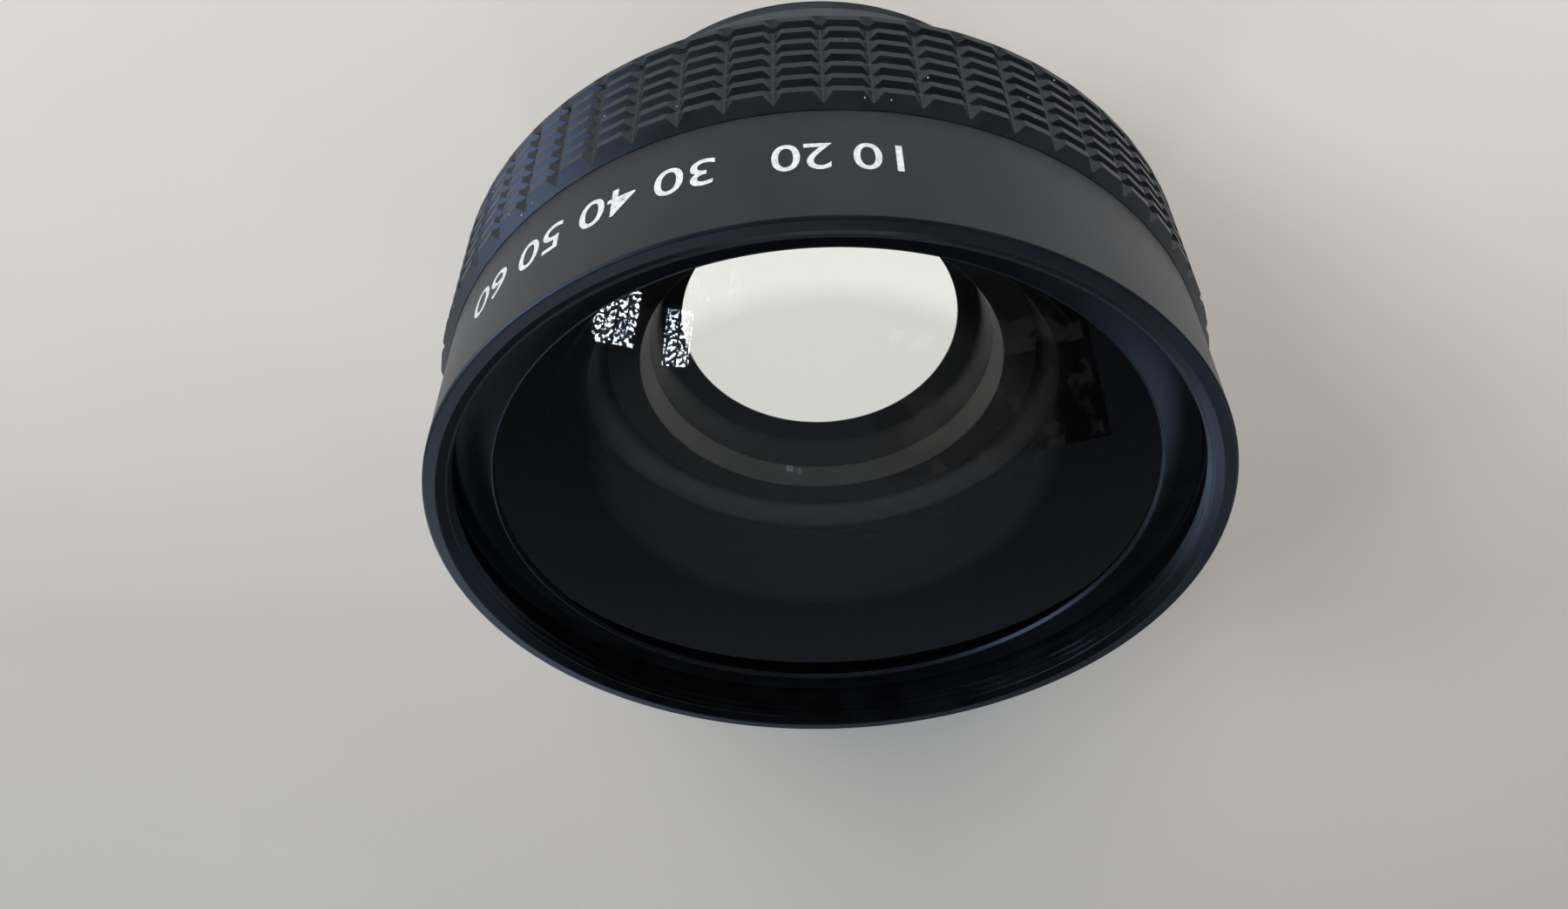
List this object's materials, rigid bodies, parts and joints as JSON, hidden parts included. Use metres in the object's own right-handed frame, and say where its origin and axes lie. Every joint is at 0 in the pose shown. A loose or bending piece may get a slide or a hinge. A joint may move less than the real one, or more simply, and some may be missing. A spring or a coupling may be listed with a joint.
{
  "type": "wide-angle conversion lens",
  "caption": "Screw-on wide-angle conversion lens: black turned barrel, knobbly rubber grip, large front glass with a filter thread, and a male mount thread at the rear.",
  "frame": {"origin": "centre of the rear end's face, on the optical axis", "axes": "+Z along the optical axis, towards the front rim; the lens is round about it"},
  "size_m": [0.0778, 0.0778, 0.0515],
  "materials": {
    "front_barrel_black": "black anodised, fine satin",
    "ring_black": "black anodised, turned satin",
    "front_glass": "polished, coated, black edge paint",
    "washer_film": "black film",
    "baffle_black": "matt black anodised",
    "rear_barrel_black": "black anodised, fine satin",
    "seal_rubber": "smooth black",
    "screw_steel": "blackened steel",
    "grip_bond": "dark tape",
    "grip_rubber": "matt moulded rubber",
    "mount_black": "black anodised, satin",
    "cell_black": "matt black anodised",
    "shim_brass": "plain sheet",
    "rear_glass": "polished, coated"
  },
  "bodies": {
    "root": {"front_barrel": "front_barrel_black", "front_retaining_ring": "ring_black", "front_element": "front_glass", "front_lens_washer": "washer_film", "light_baffle": "baffle_black", "main_barrel": "rear_barrel_black", "dust_seal": "seal_rubber", "barrel_lock_screws": "screw_steel", "grip_tape": "grip_bond", "grip_ring": "grip_rubber", "mount_ring": "mount_black", "mount_lock_screws": "screw_steel", "rear_cell": "cell_black", "spacing_shim": "shim_brass", "rear_lens_washer": "washer_film", "crown_element": "rear_glass", "flint_element": "rear_glass", "rear_retaining_ring": "ring_black"}
  },
  "joints": []
}
